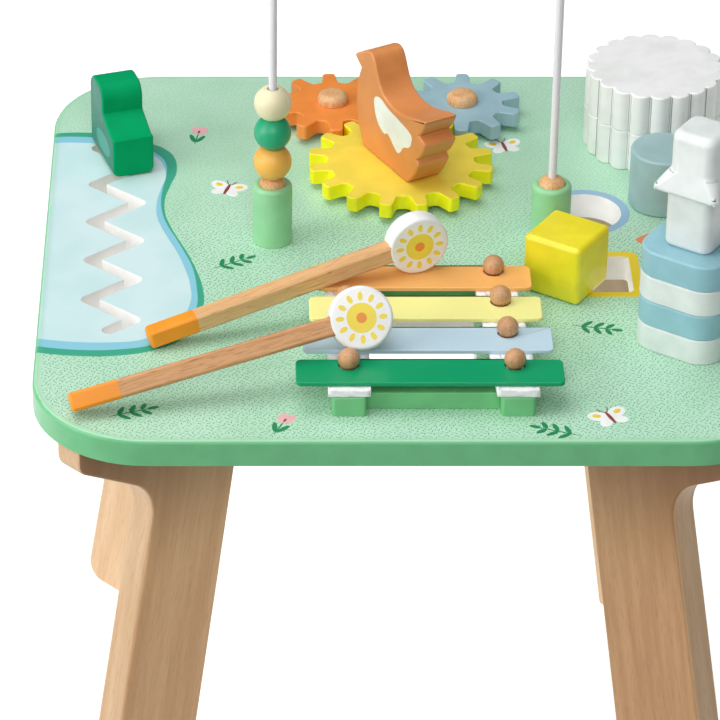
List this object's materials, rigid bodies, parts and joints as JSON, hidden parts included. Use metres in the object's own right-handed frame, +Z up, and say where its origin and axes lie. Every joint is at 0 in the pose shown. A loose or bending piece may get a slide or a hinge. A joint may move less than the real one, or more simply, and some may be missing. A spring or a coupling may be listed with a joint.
{
  "type": "activity table",
  "caption": "Low square wooden play table with a glockenspiel and mallets, meshed gears, a bead arch, a zigzag slider track, a shape sorter and stacking pieces.",
  "frame": {"origin": "on the floor under the middle of the table top", "axes": "+Z up, +X to the right and +Y to the back as a child at the glockenspiel side sees it"},
  "size_m": [0.4054, 0.4, 0.5422],
  "materials": {
    "top_paint": "mint paint with fine dark dashes, satin",
    "beech": "clear oiled beech",
    "sage_paint": "sage green paint, satin",
    "felt": "white wool felt",
    "bar_green": "green enamel",
    "bar_blue": "grey blue enamel",
    "bar_yellow": "pale yellow enamel",
    "bar_orange": "orange enamel",
    "pin_wood": "oiled wood",
    "steel": "zinc plated",
    "insert_brass": "plain",
    "head_white": "white paint, satin",
    "gear_yellow_paint": "yellow paint, satin",
    "gear_orange_paint": "orange paint, satin",
    "gear_blue_paint": "grey blue paint, satin",
    "bird_paint": "orange paint, satin",
    "wire_white": "white powder coat",
    "bead_orange_paint": "orange paint, satin",
    "bead_green_paint": "green paint, satin",
    "bead_cream_paint": "cream paint, satin",
    "slider_paint": "green paint, satin",
    "cube_paint": "yellow paint, satin",
    "cylinder_paint": "grey blue paint, satin",
    "prism_paint": "orange paint, satin",
    "tower_white_paint": "white paint, satin",
    "tower_blue_paint": "grey blue paint, satin"
  },
  "bodies": {
    "table": {"table_top": "top_paint", "leg_front_left": "beech", "leg_front_right": "beech", "leg_rear_left": "beech", "leg_rear_right": "beech", "leg_bolts": "steel", "insert_nuts": "insert_brass", "chime_rail_left": "sage_paint", "chime_rail_right": "sage_paint", "felt_strip_left": "felt", "felt_strip_right": "felt", "chime_cross_front": "sage_paint", "chime_cross_rear": "sage_paint", "chime_bar_green": "bar_green", "chime_bar_blue": "bar_blue", "chime_bar_yellow": "bar_yellow", "chime_bar_orange": "bar_orange", "bar_pins": "pin_wood", "rail_screws": "steel", "peg_screws": "steel", "arch_peg_left": "sage_paint", "arch_peg_right": "sage_paint", "arch_plugs": "pin_wood", "arch_wire": "wire_white", "gear_spacers": "beech", "tower_peg": "beech", "scallop_peg": "beech"},
    "driver_gear": {"gear_yellow": "gear_yellow_paint", "gear_axle_yellow": "beech", "gear_keeper_yellow": "beech", "bird_figure": "bird_paint"},
    "left_gear": {"gear_orange": "gear_orange_paint", "gear_axle_orange": "pin_wood", "gear_keeper_orange": "beech"},
    "right_gear": {"gear_blue": "gear_blue_paint", "gear_axle_blue": "pin_wood", "gear_keeper_blue": "beech"},
    "track_runner": {"slider_runner": "beech"},
    "slider": {"slider_figure": "slider_paint", "slider_stem": "beech"},
    "lower_bead": {"bead_orange": "bead_orange_paint"},
    "middle_bead": {"bead_green": "bead_green_paint"},
    "upper_bead": {"bead_cream": "bead_cream_paint"},
    "front_mallet": {"mallet_handle_front": "beech", "mallet_head_front": "head_white"},
    "rear_mallet": {"mallet_handle_rear": "beech", "mallet_head_rear": "head_white"},
    "cube": {"block_cube": "cube_paint"},
    "cylinder": {"block_cylinder": "cylinder_paint"},
    "prism": {"block_prism": "prism_paint"},
    "tower_first": {"tower_lower_white": "tower_white_paint"},
    "tower_second": {"tower_lower_blue": "tower_blue_paint"},
    "tower_third": {"tower_upper_white": "tower_white_paint"},
    "tower_fourth": {"tower_upper_blue": "tower_blue_paint"},
    "tower_turret": {"tower_column": "tower_white_paint"},
    "tower_cap": {"tower_roof": "tower_white_paint"},
    "lower_disc": {"scallop_disc_lower": "tower_white_paint"},
    "upper_disc": {"scallop_disc_upper": "tower_white_paint"}
  },
  "joints": [
    {"name": "driver_gear_spin", "type": "hinge", "parent": "table", "child": "driver_gear", "pos_m": [-0.0015, 0.075, 0.35], "axis": [0, 0, 1], "continuous": true},
    {"name": "left_gear_spin", "type": "hinge", "parent": "table", "child": "left_gear", "pos_m": [-0.03945, 0.14403, 0.35], "axis": [0, 0, 1], "continuous": true},
    {"name": "right_gear_spin", "type": "hinge", "parent": "table", "child": "right_gear", "pos_m": [0.03645, 0.14403, 0.35], "axis": [0, 0, 1], "continuous": true},
    {"name": "slider_travel", "type": "slide", "parent": "table", "child": "track_runner", "axis": [0.7642, -0.645, 0], "range_m": [-0.0192, 0.0127]},
    {"name": "slider_turn", "type": "hinge", "parent": "track_runner", "child": "slider", "pos_m": [-0.161, 0.09734, 0.35], "axis": [0, 0, 1], "continuous": true},
    {"name": "lower_bead_slide", "type": "slide", "parent": "table", "child": "lower_bead", "axis": [0, 0, 1], "range_m": [0, 0.02]},
    {"name": "middle_bead_slide", "type": "slide", "parent": "lower_bead", "child": "middle_bead", "axis": [0, 0, 1], "range_m": [0, 0.017]},
    {"name": "upper_bead_slide", "type": "slide", "parent": "middle_bead", "child": "upper_bead", "axis": [0, 0, 1], "range_m": [0, 0.017]},
    {"name": "front_mallet_lift", "type": "slide", "parent": "table", "child": "front_mallet", "axis": [-0.0778, 0.551, 0.8309], "range_m": [0, 0.08]},
    {"name": "rear_mallet_lift", "type": "slide", "parent": "table", "child": "rear_mallet", "axis": [0, 0, 1], "range_m": [0, 0.1]},
    {"name": "cube_lift", "type": "slide", "parent": "table", "child": "cube", "axis": [0, 0, 1], "range_m": [0, 0.08]},
    {"name": "cylinder_lift", "type": "slide", "parent": "table", "child": "cylinder", "axis": [0, 0, 1], "range_m": [0, 0.08]},
    {"name": "prism_lift", "type": "slide", "parent": "table", "child": "prism", "axis": [0, 0, 1], "range_m": [0, 0.08]},
    {"name": "tower_first_lift", "type": "slide", "parent": "table", "child": "tower_first", "axis": [0, 0, 1], "range_m": [0, 0.107]},
    {"name": "tower_second_lift", "type": "slide", "parent": "tower_first", "child": "tower_second", "axis": [0, 0, 1], "range_m": [0, 0.092]},
    {"name": "tower_third_lift", "type": "slide", "parent": "tower_second", "child": "tower_third", "axis": [0, 0, 1], "range_m": [0, 0.077]},
    {"name": "tower_fourth_lift", "type": "slide", "parent": "tower_third", "child": "tower_fourth", "axis": [0, 0, 1], "range_m": [0, 0.062]},
    {"name": "tower_turret_lift", "type": "slide", "parent": "tower_fourth", "child": "tower_turret", "axis": [0, 0, 1], "range_m": [0, 0.047]},
    {"name": "tower_cap_lift", "type": "slide", "parent": "tower_turret", "child": "tower_cap", "axis": [0, 0, 1], "range_m": [0, 0.03]},
    {"name": "lower_disc_lift", "type": "slide", "parent": "table", "child": "lower_disc", "axis": [0, 0, 1], "range_m": [0, 0.042]},
    {"name": "upper_disc_lift", "type": "slide", "parent": "lower_disc", "child": "upper_disc", "axis": [0, 0, 1], "range_m": [0, 0.03]}
  ],
  "couplings": [
    {"joint": "left_gear_spin", "follows": "driver_gear_spin", "ratio": -1.6},
    {"joint": "right_gear_spin", "follows": "driver_gear_spin", "ratio": -1.6}
  ]
}
